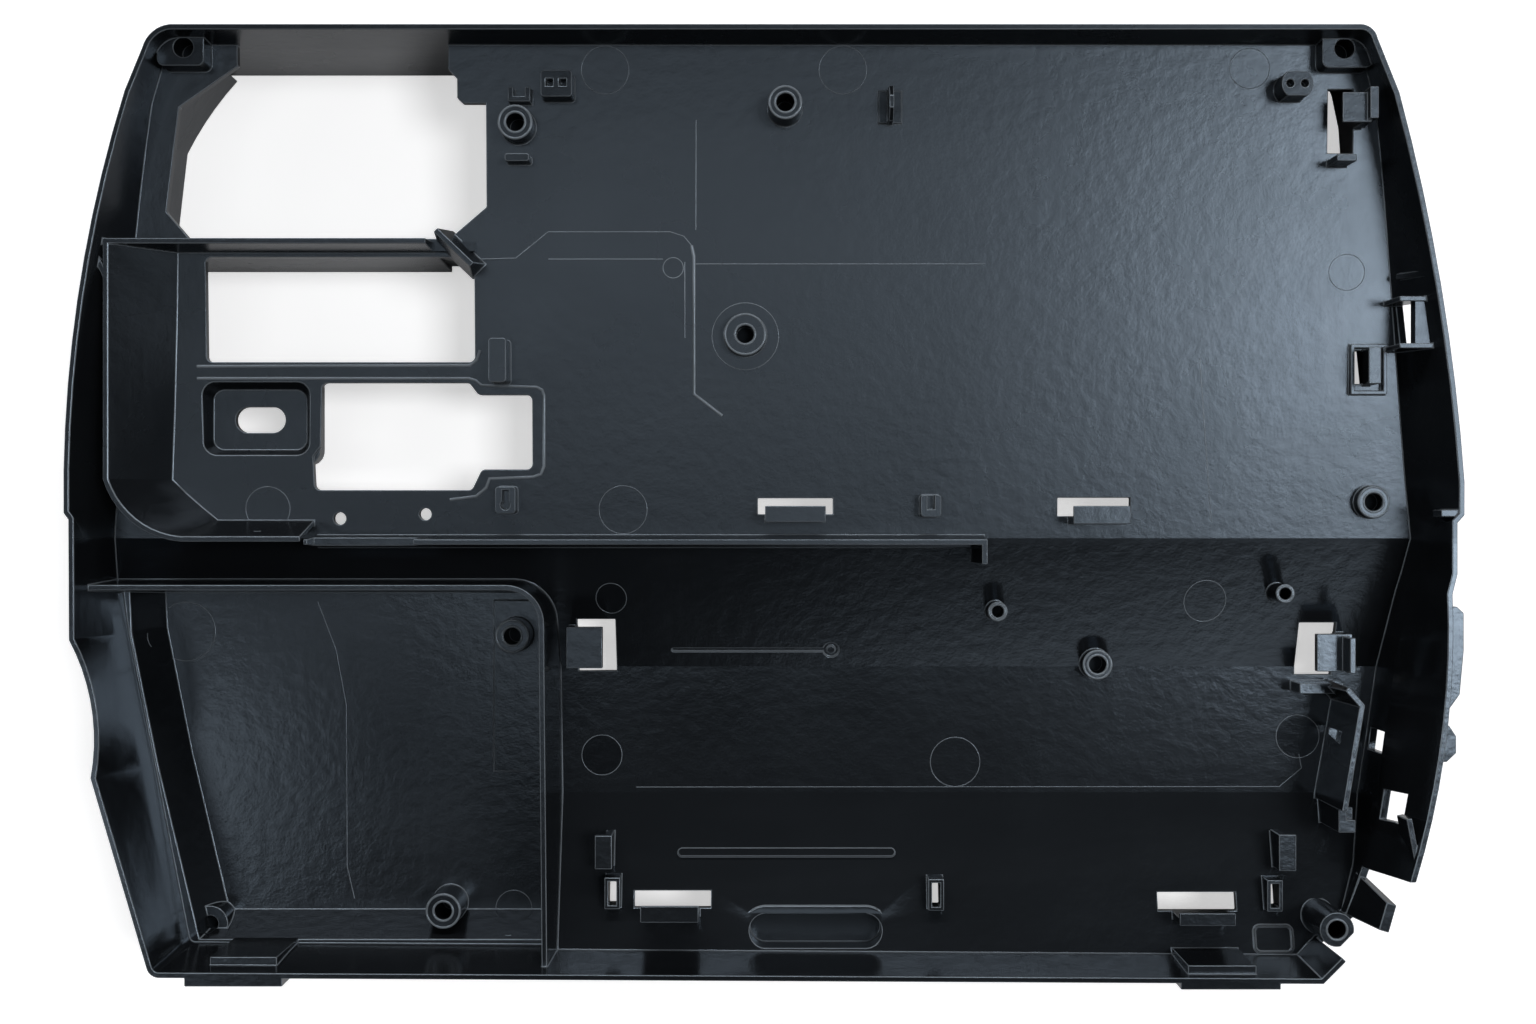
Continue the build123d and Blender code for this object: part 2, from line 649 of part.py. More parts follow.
def marks():
    """A groove with a round end."""
    x, y, length, width, depth = groove
    line = SlotOverall(length, width) + Pos(length / 2 + groove_end_radius - width, 0) * (
        Circle(groove_end_radius) - Circle(groove_end_radius - width))
    return [on_floor(x, y) * floor_line_cut(line, depth)]


def raised_marks():
    x, y, length, width, height = raised_bar
    bar = on_floor(x, y) * Pos(0, 0, -root) * stadium(length, width, height + root)
    x, y, length, width, line = square_mark
    outline = RectangleRounded(length, width, 1.5) - RectangleRounded(length - 2 * line, width - 2 * line, 1.0)
    return [bar, on_floor(x, y) * Pos(0, 0, -root) * extrude(outline, root + 0.25)]


# ---------------------------------------------------------------- the moulding
def floors(core):
    sheet = main_floor() & core
    sheet -= extrude(section(deep_region(0), 0), overall_height)
    sheet -= prism(well_edge, 0, overall_height)
    sheet -= rounded_window(corners(*middle_window), window_corner)
    sheet -= rounded_window(lower_window, window_corner)
    return sheet


def features_inside():
    parts = inner_walls()
    parts += [well_corner_wall(), slot_pan(), pocket_pan()]
    parts += [boss(x, y, radius, top) for x, y, radius, _, top in bosses.values()]
    parts += [corner_pad(*values[:5]) for values in corner_pads]
    parts += [hook(*values[:6]) for values in hooks]
    parts += [hook(*values) for values in clips]
    parts += [guide_frame_block(*place) for place in guide_slots]
    parts += standing_features()
    parts += raised_marks()
    return Part() + parts


def cut_features():
    cuts = [pilot_hole(x, y, hole_radius, top) for x, y, _, hole_radius, top in bosses.values()]
    cuts += [pilot_hole(x, y, pad_pilot_radius, top) for _, _, _, _, top, x, y in corner_pads]
    cuts += [hook_window(x, y, direction, *window) for x, y, direction, _, _, _, *window in hooks]
    cuts += [Pos(x, y, floor_height(y)) * Box(*guide_slot_size, 6 * floor_wall) for x, y in guide_slots]
    cuts += [block((120, reach), y_range, z_range) for y_range, z_range in skirt_windows]
    cuts += [Pos(x, y, floor_height(y)) * Cylinder(radius, 3 * floor_wall) for x, y, radius in deck_holes]
    cuts += [Pos(x, y, foot) * Box(length, width, overall_height, align=(Align.CENTER, Align.CENTER, Align.MIN))
             for x, y, length, width, foot in post_slots]
    x, y, radius, foot = keyhole
    cuts += [Pos(x, y, foot) * Cylinder(radius, overall_height, align=(Align.CENTER, Align.CENTER, Align.MIN))]
    x, y, _, top = round_post
    spacing, radius = round_post_holes
    cuts += [Pos(x + side * spacing, y, top) * Cylinder(radius, 6) for side in (-1, 1)]
    return cuts + [slot_recess_cut(), pocket_cut()] + marks()


def housing():
    outer = skirt_volume(0, 0)
    inner = skirt_volume(rim_wall, skirt_wall)
    core = skirt_volume(rim_wall / 2, skirt_wall / 2)
    body = (outer + outside_features()) - inner
    body -= prism(corner_gap, corner_gap_foot, overall_height + root)
    body += [floors(core), deep_floor(core), features_inside() & core, latch_arm()]
    body += block(*rim_tab)
    return body - cut_features()


model = housing()
os.makedirs("parts", exist_ok=True)
export_step(model, "parts/housing.step")
print(model.is_valid, len(model.solids()), model.volume, model.bounding_box())
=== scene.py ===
"""Finished look of the moulded plastic housing, laid out as an add-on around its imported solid."""

from math import cos, pi, radians, sin

import bmesh
import bpy
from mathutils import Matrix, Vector
from mathutils.bvhtree import BVHTree


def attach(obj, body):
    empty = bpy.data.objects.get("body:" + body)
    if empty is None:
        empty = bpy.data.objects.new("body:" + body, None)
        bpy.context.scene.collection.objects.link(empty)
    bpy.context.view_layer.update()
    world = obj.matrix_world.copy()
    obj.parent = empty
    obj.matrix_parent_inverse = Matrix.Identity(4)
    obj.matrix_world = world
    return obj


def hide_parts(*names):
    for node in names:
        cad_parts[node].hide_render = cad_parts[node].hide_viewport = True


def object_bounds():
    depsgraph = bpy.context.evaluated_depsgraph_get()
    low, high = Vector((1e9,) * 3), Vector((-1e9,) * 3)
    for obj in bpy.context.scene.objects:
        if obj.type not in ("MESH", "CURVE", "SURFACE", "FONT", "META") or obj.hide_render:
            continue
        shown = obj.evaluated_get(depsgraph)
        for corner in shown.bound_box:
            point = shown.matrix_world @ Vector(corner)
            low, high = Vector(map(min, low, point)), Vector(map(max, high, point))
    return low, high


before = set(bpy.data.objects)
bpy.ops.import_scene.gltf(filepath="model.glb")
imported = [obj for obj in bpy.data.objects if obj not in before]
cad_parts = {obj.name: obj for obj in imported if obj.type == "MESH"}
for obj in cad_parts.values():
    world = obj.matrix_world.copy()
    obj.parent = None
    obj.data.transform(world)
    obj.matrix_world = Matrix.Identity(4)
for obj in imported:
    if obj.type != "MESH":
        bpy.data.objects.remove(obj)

bl_info = {
    "name": "Moulded housing finish",
    "version": (1, 0, 0),
    "blender": (4, 5, 0),
    "location": "View3D > Sidebar > Housing",
    "description": "Rounds the edges of a moulded plastic housing and adds its marks and finish",
    "category": "Object",
}

NODE = "housing"
BODY = "root"
MM = 0.001
CAD_LOW, CAD_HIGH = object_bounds()
SKY = CAD_HIGH.z + 1  # in metres, where the rays that look for the floors start
MERGE = MM / 10000  # points of the solid closer than this become one

# Ejector pins leave round witness lines on the floors: x, y and radius in millimetres.
EJECTOR_MARKS = [
    (-32.7, 89.9, 4.9), (16.2, 89.9, 4.9), (99.9, 90.2, 4.1), (120.4, 48.5, 3.7), (-103.1, -0.4, 4.6),
    (-29.3, -0.6, 5.0), (-32.2, -19.2, 3.2), (92.8, -19.8, 4.4), (-34.7, -53.0, 4.3), (40.8, -54.5, 5.3),
    (114.0, -49.0, 4.6), (-18.8, 49.4, 2.1), (-125.6, -27.0, 6.4), (-54.4, -87.1, 3.9), (-3.9, 35.3, 6.9),
]
# Pins that leave a smoother disc as well.
SMOOTH_DISCS = [(-32.2, -19.2, 3.2), (114.0, -49.0, 4.6), (-34.7, -53.0, 4.3)]
# Weld lines that stand a hair above the floors: each a run of x, y points in millimetres.
FLOOR_LINES = [
    [(-58.7, 51.2), (-51.3, 51.4), (-44.6, 56.8), (-19.4, 56.8), (-16.6, 55.9), (-15.0, 54.0)],
    [(-44.6, 51.2), (-20.9, 51.2)],
    [(-16.4, 50.6), (-16.4, 35.0)],
    [(-14.3, 50.2), (45.6, 50.2)],
    [(-14.0, 79.7), (-14.1, 57.2)],
    [(90.2, 30.8), (92.9, -3.0)],
    [(-27.4, -59.9), (110.2, -59.8), (114.9, -55.8), (114.3, -52.8)],
    [(-97.0, -20.5), (-93.0, -31.0), (-90.8, -43.0), (-90.6, -78.0), (-89.0, -85.0)],
]
# Rounded steps of the deck around the cut-outs.
FLOOR_STEPS = [
    [(-117.5, 26.6), (-61.1, 26.6), (-59.8, 26.2), (-58.6, 25.2), (-47.1, 24.8), (-46.0, 24.2),
     (-45.6, 23.1), (-45.7, 8.5), (-46.3, 6.8), (-48.0, 6.2), (-57.0, 5.9), (-57.7, 4.0),
     (-59.8, 2.2), (-65.3, 1.5)],
    [(-58.7, 49.1), (-58.8, 32.5), (-59.5, 30.4), (-60.9, 29.3), (-117.5, 29.1)],
    [(-15.0, 54.0), (-14.5, 51.8), (-14.5, 23.4), (-8.7, 18.9)],
]
# Screw bosses whose bore and shoulder are rounded: x, y, bore radius and outer radius in millimetres.
ROUNDED_BOSSES = [
    (-50.6, 78.2, 1.8, 3.6), (4.3, 81.8, 1.8, 3.5), (-3.9, 35.5, 1.8, 4.4), (125.8, 1.0, 1.8, 3.4),
    (48.7, -21.8, 1.2, 2.1), (70.4, -33.3, 1.8, 3.2), (107.5, -17.9, 1.2, 2.0), (116.5, -86.0, 1.8, 3.5),
    (-118.5, -89.1, 1.8, 3.9), (-68.1, -85.7, 1.8, 3.8), (-53.7, -27.5, 1.8, 3.7), (-117.8, 93.2, 2.0, 3.2),
    (118.0, 93.2, 2.0, 3.2),
]
# Small plain forms: x, y and z ranges in millimetres.
PLAIN_FORMS = {
    "bridge_wall_foot": ((-69.5, -59.4), (52.6, 54.6), (0.3, 28.0)),
    "window_bar": ((131.6, 136.2), (32.9, 42.4), (32.4, 35.6)),
}
# Soft lamps: name, place, the point they face, size in metres and power in watts.
LAMPS = [
    ("right panel", (1.25, 0.10, 3.00), (0.00, 0.00, 0.00), (0.78, 1.04), 42.0),
    ("wide panel", (-0.02, 0.14, 3.00), (0.00, 0.00, 0.00), (1.00, 0.92), 4.1),
    ("tray panel", (-0.68, 0.22, 3.00), (0.00, 0.00, 0.00), (0.48, 0.72), 1.7),
    ("low left panel", (-1.02, -0.46, 3.00), (0.00, 0.00, 0.00), (0.36, 0.45), 1.9),
    ("front panel", (0.70, -1.62, 1.20), (0.00, 0.00, 0.00), (1.40, 0.36), 2.8),
    ("back panel", (0.00, 1.70, 1.20), (0.00, 0.00, 0.00), (2.60, 0.36), 34.0),
    ("left panel", (-1.70, 0.20, 1.00), (0.00, 0.00, 0.00), (0.30, 1.60), 5.0),
    ("far right panel", (1.80, 0.00, 0.90), (0.00, 0.00, 0.00), (0.30, 1.20), 1.8),
]


# ---------------------------------------------------------------- sizes and colours
class HousingShellSettings(bpy.types.PropertyGroup):
    edge_round: bpy.props.FloatProperty(
        name="Edge round", description="Radius of the moulded edges",
        default=0.00018, min=0.0, unit="LENGTH")
    edge_angle: bpy.props.FloatProperty(
        name="Edge angle", description="Smallest angle that counts as an edge", default=radians(32),
        subtype="ANGLE")
    edge_segments: bpy.props.IntProperty(
        name="Edge segments", description="Faces across each rounded edge", default=2, min=1, max=4)
    flat_weight: bpy.props.IntProperty(
        name="Flat weight", description="How far large faces set the shading of small ones",
        default=90, min=1, max=100)
    smooth_angle: bpy.props.FloatProperty(
        name="Smooth angle", description="Faces within this angle shade as one", default=radians(17.5),
        subtype="ANGLE")


class HousingPlasticSettings(bpy.types.PropertyGroup):
    colour: bpy.props.FloatVectorProperty(
        name="Colour", description="Colour of the moulded plastic",
        default=(0.0045, 0.0052, 0.0062), size=3, subtype="COLOR", min=0.0, max=1.0)
    haze: bpy.props.FloatVectorProperty(
        name="Haze", description="Colour of the paler flow streaks",
        default=(0.0075, 0.0086, 0.0100), size=3, subtype="COLOR", min=0.0, max=1.0)
    # Painted highlight: edges and raised lines are coloured far paler than the plastic, standing in for the
    # light they catch.
    edge_highlight_colour: bpy.props.FloatVectorProperty(
        name="Edge colour", description="Colour of the highlight-painted edges",
        default=(0.075, 0.085, 0.095), size=3, subtype="COLOR", min=0.0, max=1.0)
    edge_highlight_haze: bpy.props.FloatProperty(
        name="Edge haze", description="How much paler the streaks on the edges are", default=2.0, min=0.0)
    sheen_colour: bpy.props.FloatVectorProperty(
        name="Sheen colour", description="Tint of the reflections", default=(0.66, 0.82, 1.0), size=3,
        subtype="COLOR", min=0.0, max=1.0)
    roughness: bpy.props.FloatProperty(
        name="Roughness", description="Lowest roughness of the skin", default=0.24, min=0.0, max=1.0)
    roughness_spread: bpy.props.FloatProperty(
        name="Roughness spread", description="How far the clouded gloss varies", default=0.05, min=0.0)
    polish: bpy.props.FloatProperty(
        name="Polish", description="Share of the roughness that the lower floor keeps",
        default=0.70, min=0.0, max=1.0)
    polish_edge: bpy.props.FloatVectorProperty(
        name="Polish edge", description="Where along Y the polish ends and the deck's skin begins",
        default=(-0.0080, -0.0060), size=2, unit="LENGTH")
    flow_scale: bpy.props.FloatVectorProperty(
        name="Flow scale", description="How tightly the flow streaks lie along each axis",
        default=(6.0, 22.0, 22.0), size=3, subtype="XYZ")
    flow_turn: bpy.props.FloatProperty(
        name="Flow turn", description="Turn of the flow streaks", default=radians(12), subtype="ANGLE")
    cloud_scale: bpy.props.FloatProperty(
        name="Cloud scale", description="How tightly the clouds of the gloss lie", default=38.0, min=0.0)
    # The edges that carry the painted highlight colour are also smoother.
    edge_gloss: bpy.props.FloatProperty(
        name="Edge gloss", description="How much smoother the highlight-painted edges are", default=0.04, min=0.0)
    bore_shade: bpy.props.FloatProperty(
        name="Bore shade", description="Share of the colour that a bore's floor keeps",
        default=0.25, min=0.0, max=1.0)
    bore_roughness: bpy.props.FloatVectorProperty(
        name="Bore roughness", description="Lowest and highest roughness of a bore's floor",
        default=(0.9, 1.0), size=2)
    refraction: bpy.props.FloatProperty(
        name="Refraction", description="Index of refraction of the plastic", default=1.5, min=1.0)
    grain_strength: bpy.props.FloatProperty(
        name="Grain strength", description="How strongly the grain shows", default=0.6, min=0.0, max=1.0)
    peel_share: bpy.props.FloatProperty(
        name="Peel share", description="How tightly the peel lies against the grain", default=0.22, min=0.0)
    peel_depth: bpy.props.FloatProperty(
        name="Peel depth", description="Depth of the peel against the grain", default=2.4, min=0.0)
    grain_size: bpy.props.FloatProperty(
        name="Grain size", description="Width of one grain of the skin", default=0.0006, unit="LENGTH")
    grain_depth: bpy.props.FloatProperty(
        name="Grain depth", description="Depth of the grain", default=0.000025, unit="LENGTH")


class HousingMarkSettings(bpy.types.PropertyGroup):
    line_width: bpy.props.FloatProperty(
        name="Line width", description="Width of a witness line", default=0.00024, unit="LENGTH")
    line_height: bpy.props.FloatProperty(
        name="Line height", description="How far a line stands above the floor",
        default=0.00006, unit="LENGTH")
    disc_height: bpy.props.FloatProperty(
        name="Disc height", description="How far a smooth disc stands above the floor",
        default=0.00002, unit="LENGTH")
    step_width: bpy.props.FloatProperty(
        name="Step width", description="Width of a rounded step", default=0.0009, unit="LENGTH")
    step_height: bpy.props.FloatProperty(
        name="Step height", description="How far a step stands above the floor",
        default=0.00016, unit="LENGTH")
    rim_width: bpy.props.FloatProperty(
        name="Rim width", description="Width of the rounded rim of a boss", default=0.0006, unit="LENGTH")
    rim_height: bpy.props.FloatProperty(
        name="Rim height", description="How far that rim stands above the boss",
        default=0.00014, unit="LENGTH")
    bore_share: bpy.props.FloatProperty(
        name="Bore share", description="Share of a bore that its shaded floor fills",
        default=0.94, min=0.1, max=1.0)
    steepest: bpy.props.FloatProperty(
        name="Steepest", description="Steepest climb that a mark follows before it breaks off",
        default=0.6, min=0.0)
    bead_sides: bpy.props.IntProperty(
        name="Bead sides", description="Sides of the bead that makes a line or a rim",
        default=8, min=3, max=24)
    steps: bpy.props.IntProperty(
        name="Steps", description="Straight pieces in each round mark", default=40, min=12, max=96)


class HousingStageSettings(bpy.types.PropertyGroup):
    backdrop: bpy.props.FloatVectorProperty(
        name="Backdrop", description="Colour of the floor as it lights the part",
        default=(0.86, 0.86, 0.87), size=3, subtype="COLOR", min=0.0, max=1.0)
    backdrop_seen: bpy.props.FloatVectorProperty(
        name="Backdrop seen", description="Colour of the floor to the camera and in reflections",
        default=(0.84, 0.84, 0.85), size=3, subtype="COLOR", min=0.0, max=1.0)
    backdrop_glow: bpy.props.FloatProperty(
        name="Backdrop glow", description="Glow of the floor that only the camera sees",
        default=0.55, min=0.0)
    floor_reach: bpy.props.FloatProperty(
        name="Floor reach", description="Half the length of the floor", default=4.0, unit="LENGTH")
    floor_gap: bpy.props.FloatProperty(
        name="Floor gap", description="Gap between the floor and the part", default=0.0002, unit="LENGTH")
    world_colour: bpy.props.FloatVectorProperty(
        name="World colour", description="Colour of the world's light", default=(0.9, 0.95, 1.0), size=3,
        subtype="COLOR", min=0.0, max=1.0)
    world_strength: bpy.props.FloatProperty(
        name="World strength", description="Strength of the world's light", default=0.02, min=0.0)
    camera_place: bpy.props.FloatVectorProperty(
        name="Camera place", description="Where the camera stands",
        default=(0.0008, -0.00105, 0.470), size=3, subtype="XYZ", unit="LENGTH")
    camera_lens: bpy.props.FloatProperty(
        name="Camera lens", description="Focal length in millimetres", default=50.39)


GROUPS = (HousingShellSettings, HousingPlasticSettings, HousingMarkSettings, HousingStageSettings)


def settings(name):
    """The scene's group of values for one part of the look."""
    return getattr(bpy.context.scene, "housing_" + name)


# ---------------------------------------------------------------- shared helpers
def add_node(tree, kind, place=(0, 0), **values):
    """A node with its properties and unlinked sockets set by name."""
    made = tree.nodes.new(kind)
    made.location = place
    for key, value in values.items():
        socket = made.inputs.get(key.replace("_", " ").title()) or made.inputs.get(key)
        if hasattr(made, key):
            setattr(made, key, value)
        else:
            socket.default_value = value
    return made


def link_up(tree, *pairs):
    """Links each pair of an output and an input."""
    for out_socket, in_socket in pairs:
        tree.links.new(out_socket, in_socket)


def new_object(name, mesh):
    """A new object in the scene."""
    made = bpy.data.objects.new(name, mesh)
    bpy.context.scene.collection.objects.link(made)
    return made


def ride_in_slot(piece):
    """Gives a piece its body."""
    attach(piece, BODY)


def finish_piece(piece, material):
    """Gives a piece its material and body."""
    piece.data.materials.clear()
    piece.data.materials.append(material)
    ride_in_slot(piece)


def surface():
    """The housing's solid as a tree that rays can be cast at."""
    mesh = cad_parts[NODE].data
    return BVHTree.FromPolygons([v.co for v in mesh.vertices], [list(p.vertices) for p in mesh.polygons])


def seat_on(tree, x, y):
    """Place and normal of the highest surface below a point of the plan, in metres."""
    place, normal, _, _ = tree.ray_cast(Vector((x, y, SKY)), Vector((0, 0, -1)))
    if place is None:
        raise RuntimeError("no surface below %.4f, %.4f" % (x, y))
    return place, normal


# ---------------------------------------------------------------- materials
def noise(tree, place, source, scale, detail, distortion=0.0):
    """A noise texture on a source of coordinates."""
    made = add_node(tree, "ShaderNodeTexNoise", place, Scale=scale, Detail=detail, Distortion=distortion)
    tree.links.new(source, made.inputs["Vector"])
    return made.outputs["Fac"]


def stretched(tree, place, source, low, high, to_low, to_high):
    """A value mapped from one range to another."""
    made = add_node(tree, "ShaderNodeMapRange", place)
    for name, value in (("From Min", low), ("From Max", high), ("To Min", to_low), ("To Max", to_high)):
        made.inputs[name].default_value = value
    tree.links.new(source, made.inputs["Value"])
    return made.outputs["Result"]


def plastic(name, dark, pale, low_gloss, high_gloss):
    """Moulded plastic: flow streaks in its colour, clouded gloss and a fine grain."""
    if name in bpy.data.materials:
        return bpy.data.materials[name]
    look = settings("plastic")
    made = bpy.data.materials.new(name)
    made.use_nodes = True
    tree = made.node_tree
    shader = tree.nodes["Principled BSDF"]
    place = add_node(tree, "ShaderNodeTexCoord", (-1400, 0)).outputs["Object"]

    flow = add_node(tree, "ShaderNodeMapping", (-1200, 200))
    flow.inputs["Scale"].default_value = look.flow_scale
    flow.inputs["Rotation"].default_value = (0, 0, look.flow_turn)
    tree.links.new(place, flow.inputs["Vector"])
    streaks = noise(tree, (-1000, 200), flow.outputs["Vector"], scale=1.6, detail=7.0, distortion=0.8)
    haze = stretched(tree, (-800, 200), streaks, low=0.35, high=0.75, to_low=0.0, to_high=1.0)
    tint = add_node(tree, "ShaderNodeMix", (-500, 260), data_type="RGBA")
    tint.inputs[6].default_value = (*dark, 1)
    tint.inputs[7].default_value = (*pale, 1)
    tree.links.new(haze, tint.inputs[0])
    tree.links.new(tint.outputs[2], shader.inputs["Base Color"])

    clouds = noise(tree, (-1000, -100), place, look.cloud_scale, detail=5.0)
    gloss = stretched(tree, (-750, -60), clouds, low=0.3, high=0.7, to_low=low_gloss, to_high=high_gloss)
    across = add_node(tree, "ShaderNodeSeparateXYZ", (-1000, -260))
    tree.links.new(place, across.inputs["Vector"])
    deck = stretched(tree, (-750, -240), across.outputs["Y"], *look.polish_edge, look.polish, 1.0)
    skin = add_node(tree, "ShaderNodeMath", (-500, -120), operation="MULTIPLY")
    link_up(
        tree,
        (gloss, skin.inputs[0]), (deck, skin.inputs[1]),
        (skin.outputs["Value"], shader.inputs["Roughness"]),
    )

    grain = noise(tree, (-1000, -400), place, 1 / look.grain_size, detail=2.0)
    peel = noise(tree, (-1000, -650), place, look.peel_share / look.grain_size, detail=1.0)
    relief = add_node(tree, "ShaderNodeMath", (-700, -500), operation="MULTIPLY_ADD")
    relief.inputs[1].default_value = look.peel_depth
    bump = add_node(
        tree, "ShaderNodeBump", (-450, -420), Strength=look.grain_strength, Distance=look.grain_depth)
    link_up(
        tree,
        (peel, relief.inputs[0]), (grain, relief.inputs[2]),
        (relief.outputs["Value"], bump.inputs["Height"]), (bump.outputs["Normal"], shader.inputs["Normal"]),
    )
    shader.inputs["IOR"].default_value = look.refraction
    shader.inputs["Specular Tint"].default_value = (*look.sheen_colour, 1)
    return made


def plastic_material():
    """The skin of the whole moulding."""
    look = settings("plastic")
    return plastic(
        "dark moulded plastic", look.colour, look.haze,
        look.roughness, look.roughness + look.roughness_spread,
    )


def disc_material():
    """The smoother skin that an ejector pin leaves."""
    look = settings("plastic")
    return plastic(
        "smooth moulded plastic", look.colour, look.colour,
        look.roughness - look.roughness_spread, look.roughness,
    )


def edge_highlight_material():
    """Edges and raised lines, painted paler than the floors as a highlight of the light they catch."""
    look = settings("plastic")
    pale = [value * look.edge_highlight_haze for value in look.edge_highlight_colour]
    return plastic(
        "highlight-painted moulded edge", look.edge_highlight_colour, pale,
        look.roughness - look.edge_gloss, look.roughness,
    )


def bore_material():
    """The shade at the bottom of a screw bore."""
    look = settings("plastic")
    black = [value * look.bore_shade for value in look.colour]
    return plastic("shaded moulded plastic", black, black, *look.bore_roughness)


# ---------------------------------------------------------------- the shell
def joined(mesh):
    """Merges a mesh's loose triangles into one closed surface."""
    work = bmesh.new()
    work.from_mesh(mesh)
    bmesh.ops.remove_doubles(work, verts=work.verts, dist=MERGE)
    work.to_mesh(mesh)
    work.free()
    if "custom_normal" in mesh.attributes:
        mesh.attributes.remove(mesh.attributes["custom_normal"])


class HOUSING_OT_shell(bpy.types.Operator):
    """Copies the housing's solid and rounds its edges as a mould leaves them."""

    bl_idname = "housing.shell"
    bl_label = "Moulded shell"

    def execute(self, context):
        shell = settings("shell")
        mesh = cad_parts[NODE].data.copy()
        joined(mesh)
        mesh.materials.clear()
        mesh.materials.append(plastic_material())
        mesh.materials.append(edge_highlight_material())
        mesh.shade_smooth()
        mesh.set_sharp_from_angle(angle=shell.smooth_angle)
        piece = new_object("moulded_shell", mesh)
        rounding = piece.modifiers.new("edge round", "BEVEL")
        rounding.width = shell.edge_round
        rounding.segments = shell.edge_segments
        rounding.limit_method = "ANGLE"
        rounding.angle_limit = shell.edge_angle
        rounding.use_clamp_overlap = False
        rounding.loop_slide = False
        # The rounded edges take the second material, the pale edge colour that is a painted highlight.
        rounding.material = 1
        flats = piece.modifiers.new("flat normals", "WEIGHTED_NORMAL")
        flats.weight = shell.flat_weight
        flats.keep_sharp = True
        evaluated = piece.evaluated_get(context.evaluated_depsgraph_get())
        rounded = bpy.data.meshes.new_from_object(evaluated)
        piece.modifiers.clear()
        piece.data = rounded
        rounded.name = "moulded_shell"
        ride_in_slot(piece)
        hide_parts(NODE)
        return {"FINISHED"}


# ---------------------------------------------------------------- witness lines
def line_tree():
    """Geometry Nodes that sweep a round bead along the edges of a mesh."""
    tree = bpy.data.node_groups.new("floor bead", "GeometryNodeTree")
    face = tree.interface
    face.new_socket("Geometry", in_out="INPUT", socket_type="NodeSocketGeometry")
    face.new_socket("Width", in_out="INPUT", socket_type="NodeSocketFloat")
    face.new_socket("Material", in_out="INPUT", socket_type="NodeSocketMaterial")
    face.new_socket("Geometry", in_out="OUTPUT", socket_type="NodeSocketGeometry")
    entry = add_node(tree, "NodeGroupInput", (-800, 0))
    curve = add_node(tree, "GeometryNodeMeshToCurve", (-600, 100))
    half = add_node(tree, "ShaderNodeMath", (-600, -150), operation="MULTIPLY")
    half.inputs[1].default_value = 0.5
    profile = add_node(tree, "GeometryNodeCurvePrimitiveCircle", (-400, -150))
    profile.inputs["Resolution"].default_value = settings("marks").bead_sides
    sweep = add_node(tree, "GeometryNodeCurveToMesh", (-200, 0))
    sweep.inputs["Fill Caps"].default_value = True
    real = add_node(tree, "GeometryNodeRealizeInstances", (0, 0))
    paint = add_node(tree, "GeometryNodeSetMaterial", (200, 0))
    leave = add_node(tree, "NodeGroupOutput", (400, 0))
    link_up(
        tree,
        (entry.outputs["Geometry"], curve.inputs["Mesh"]), (entry.outputs["Width"], half.inputs[0]),
        (half.outputs["Value"], profile.inputs["Radius"]), (curve.outputs["Curve"], sweep.inputs["Curve"]),
        (profile.outputs["Curve"], sweep.inputs["Profile Curve"]),
        (sweep.outputs["Mesh"], real.inputs["Geometry"]),
        (real.outputs["Geometry"], paint.inputs["Geometry"]),
        (entry.outputs["Material"], paint.inputs["Material"]),
        (paint.outputs["Geometry"], leave.inputs["Geometry"]),
    )
    return tree


def run_tree(piece, tree, **inputs):
    """Puts a node tree on a piece, sets its inputs and turns the result into a plain mesh."""
    modifier = piece.modifiers.new(tree.name, "NODES")
    modifier.node_group = tree
    for item in tree.interface.items_tree:
        if item.in_out == "INPUT" and item.name in inputs:
            modifier[item.identifier] = inputs[item.name]
    evaluated = piece.evaluated_get(bpy.context.evaluated_depsgraph_get())
    result = bpy.data.meshes.new_from_object(evaluated)
    piece.modifiers.clear()
    piece.data = result
    return piece


def lies_flat(start, end, steepest):
    """Whether a straight piece between two points stays on a floor and climbs no wall."""
    across = (end - start).to_2d().length
    return abs(end.z - start.z) <= steepest * across


def paths_mesh(name, paths, closed):
    """A mesh of edges along several runs of points, which breaks off where a run would climb a wall."""
    steepest = settings("marks").steepest
    points, edges = [], []
    for path in paths:
        first = len(points)
        points += path
        run = [(first + i, first + i + 1) for i in range(len(path) - 1)]
        if closed:
            run.append((len(points) - 1, first))
        edges += [(a, b) for a, b in run if lies_flat(points[a], points[b], steepest)]
    mesh = bpy.data.meshes.new(name)
    mesh.from_pydata(points, edges, [])
    return mesh


def add_beads(name, paths, closed, width, height, on_top=False):
    """Beads of a width in metres along runs of x, y points, which stand a height above the floor.

    With on_top, a run that slips more than a millimetre off its boss is left out.
    """
    tree = surface()
    seated = []
    for path in paths:
        spots = [seat_on(tree, x * MM, y * MM) for x, y in path]
        heights = [place.z for place, _ in spots]
        if on_top and max(heights) - min(heights) > MM:
            continue
        seated.append([place - normal * (width / 2 - height) for place, normal in spots])
    piece = new_object(name, paths_mesh(name, seated, closed))
    # Every bead, on witness lines, steps and boss rims, takes the pale edge colour, a painted highlight.
    run_tree(piece, line_tree(), Width=width, Material=edge_highlight_material())
    finish_piece(piece, edge_highlight_material())


def ring(x, y, radius, steps):
    """Points round a circle, as x and y in millimetres."""
    turns = [2 * pi * i / steps for i in range(steps)]
    return [(x + radius * cos(a), y + radius * sin(a)) for a in turns]


def add_discs(name, discs, height, material):
    """Flat discs of x, y and radius in millimetres, a height in metres above the floor."""
    tree = surface()
    work = bmesh.new()
    for disc in discs:
        spots = [seat_on(tree, x * MM, y * MM) for x, y in ring(*disc, settings("marks").steps)]
        work.faces.new([work.verts.new(place + normal * height) for place, normal in spots])
    mesh = bpy.data.meshes.new(name)
    work.to_mesh(mesh)
    work.free()
    finish_piece(new_object(name, mesh), material)


